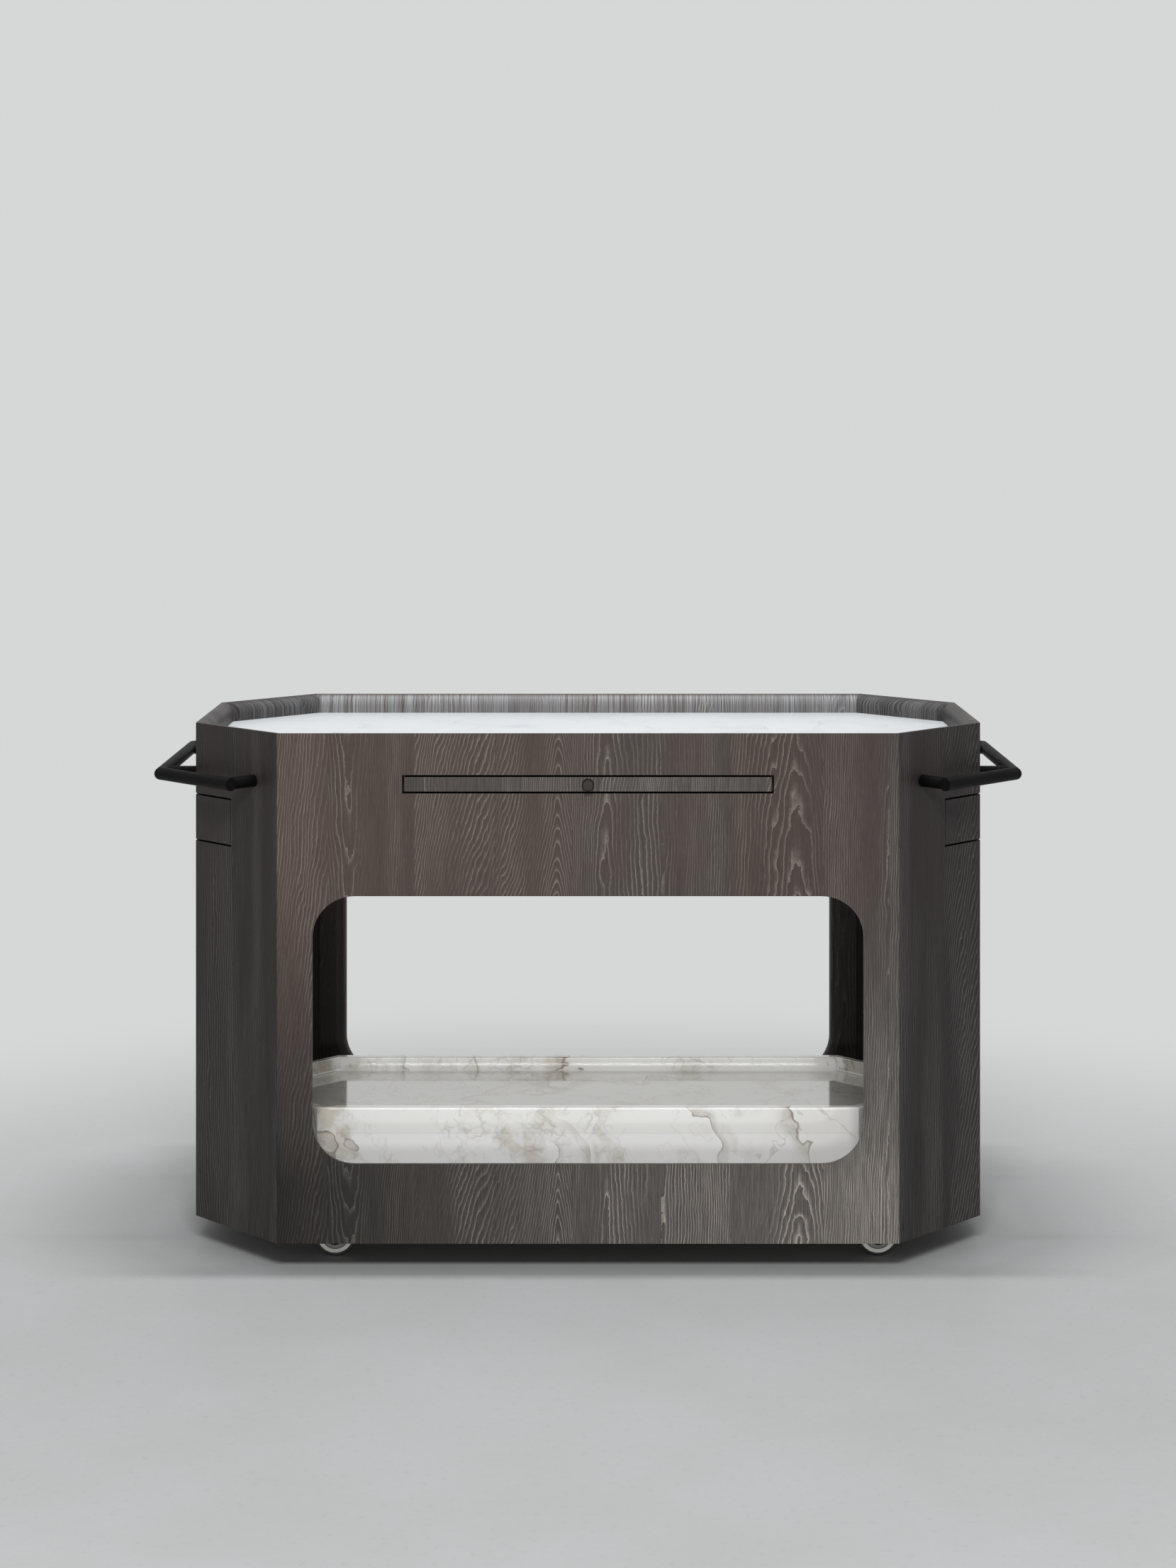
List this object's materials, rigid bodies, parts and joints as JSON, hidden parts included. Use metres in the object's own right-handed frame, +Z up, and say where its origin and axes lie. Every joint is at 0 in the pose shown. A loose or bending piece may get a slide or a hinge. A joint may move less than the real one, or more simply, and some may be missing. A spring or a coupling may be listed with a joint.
{
  "type": "bar cart",
  "caption": "Octagonal veneered bar cart on swivel casters with rimmed stone top, through opening with stone tray, pull-out board, end drawers and rail handles.",
  "frame": {"origin": "on the floor under the middle of the shell", "axes": "+Z up, front with the pull-out board towards -Y, +X to the right seen from the front"},
  "size_m": [1.3194, 0.5898, 0.7998],
  "materials": {
    "shell_veneer": "satin dark stained ash veneer, upright grain",
    "shell_veneer_corners": "satin dark stained ash veneer, upright grain",
    "stone_top": "honed white marble with faint grey veins",
    "stone_tray": "polished warm white marble with grey and brown veins",
    "plywood": "stained birch plywood",
    "board_wood": "oiled dark ash",
    "black_metal": "matte black powder coat",
    "zinc_steel": "zinc plated",
    "wheel_plastic": "pale grey nylon",
    "tyre_rubber": "dark grey rubber"
  },
  "bodies": {
    "shell": {"front_panel": "shell_veneer", "rear_panel": "shell_veneer", "corner_panel_front_left": "shell_veneer_corners", "corner_panel_front_right": "shell_veneer_corners", "corner_panel_rear_left": "shell_veneer_corners", "corner_panel_rear_right": "shell_veneer_corners", "end_panel_upper_left": "shell_veneer_corners", "end_panel_upper_right": "shell_veneer_corners", "end_panel_lower_left": "shell_veneer_corners", "end_panel_lower_right": "shell_veneer_corners", "stone_top": "stone_top", "sub_top": "plywood", "cleats": "plywood", "bay_floor": "plywood", "bay_partition_front": "plywood", "bay_partition_rear": "plywood", "bay_divider": "plywood", "pullout_guides": "plywood", "slide_channels": "zinc_steel", "base_deck": "plywood", "tray_slab": "stone_tray", "tray_apron": "stone_tray", "tray_core": "plywood", "handle_left": "black_metal", "handle_right": "black_metal", "handle_bolts": "zinc_steel", "caster_plates": "zinc_steel", "caster_screws": "zinc_steel"},
    "pullout": {"pullout_front": "shell_veneer", "pullout_board": "board_wood", "pullout_knob": "black_metal", "pullout_knob_stud": "zinc_steel", "pullout_stop_pegs": "plywood"},
    "drawer_left": {"drawer_front_left": "shell_veneer_corners", "drawer_sides_left": "plywood", "drawer_ends_left": "plywood", "drawer_bottom_left": "plywood", "drawer_slides_left": "zinc_steel"},
    "drawer_right": {"drawer_front_right": "shell_veneer_corners", "drawer_sides_right": "plywood", "drawer_ends_right": "plywood", "drawer_bottom_right": "plywood", "drawer_slides_right": "zinc_steel"},
    "caster_front_left": {"caster_fork_front_left": "black_metal", "caster_axle_front_left": "zinc_steel"},
    "wheel_front_left": {"caster_wheel_front_left": "wheel_plastic", "caster_tyre_front_left": "tyre_rubber"},
    "caster_front_right": {"caster_fork_front_right": "black_metal", "caster_axle_front_right": "zinc_steel"},
    "wheel_front_right": {"caster_wheel_front_right": "wheel_plastic", "caster_tyre_front_right": "tyre_rubber"},
    "caster_rear_left": {"caster_fork_rear_left": "black_metal", "caster_axle_rear_left": "zinc_steel"},
    "wheel_rear_left": {"caster_wheel_rear_left": "wheel_plastic", "caster_tyre_rear_left": "tyre_rubber"},
    "caster_rear_right": {"caster_fork_rear_right": "black_metal", "caster_axle_rear_right": "zinc_steel"},
    "wheel_rear_right": {"caster_wheel_rear_right": "wheel_plastic", "caster_tyre_rear_right": "tyre_rubber"}
  },
  "joints": [
    {"name": "pullout_slide", "type": "slide", "parent": "shell", "child": "pullout", "axis": [0, -1, 0], "range_m": [0, 0.24]},
    {"name": "drawer_left_slide", "type": "slide", "parent": "shell", "child": "drawer_left", "axis": [-1, 0, 0], "range_m": [0, 0.35]},
    {"name": "drawer_right_slide", "type": "slide", "parent": "shell", "child": "drawer_right", "axis": [1, 0, 0], "range_m": [0, 0.35]},
    {"name": "swivel_front_left", "type": "hinge", "parent": "shell", "child": "caster_front_left", "pos_m": [-0.41, -0.1845, 0.075], "axis": [0, 0, 1], "continuous": true},
    {"name": "roll_front_left", "type": "hinge", "parent": "caster_front_left", "child": "wheel_front_left", "pos_m": [-0.382, -0.1845, 0.032], "axis": [0, 1, 0], "continuous": true},
    {"name": "swivel_front_right", "type": "hinge", "parent": "shell", "child": "caster_front_right", "pos_m": [0.41, -0.1845, 0.075], "axis": [0, 0, 1], "continuous": true},
    {"name": "roll_front_right", "type": "hinge", "parent": "caster_front_right", "child": "wheel_front_right", "pos_m": [0.438, -0.1845, 0.032], "axis": [0, 1, 0], "continuous": true},
    {"name": "swivel_rear_left", "type": "hinge", "parent": "shell", "child": "caster_rear_left", "pos_m": [-0.41, 0.1845, 0.075], "axis": [0, 0, 1], "continuous": true},
    {"name": "roll_rear_left", "type": "hinge", "parent": "caster_rear_left", "child": "wheel_rear_left", "pos_m": [-0.382, 0.1845, 0.032], "axis": [0, 1, 0], "continuous": true},
    {"name": "swivel_rear_right", "type": "hinge", "parent": "shell", "child": "caster_rear_right", "pos_m": [0.41, 0.1845, 0.075], "axis": [0, 0, 1], "continuous": true},
    {"name": "roll_rear_right", "type": "hinge", "parent": "caster_rear_right", "child": "wheel_rear_right", "pos_m": [0.438, 0.1845, 0.032], "axis": [0, 1, 0], "continuous": true}
  ]
}
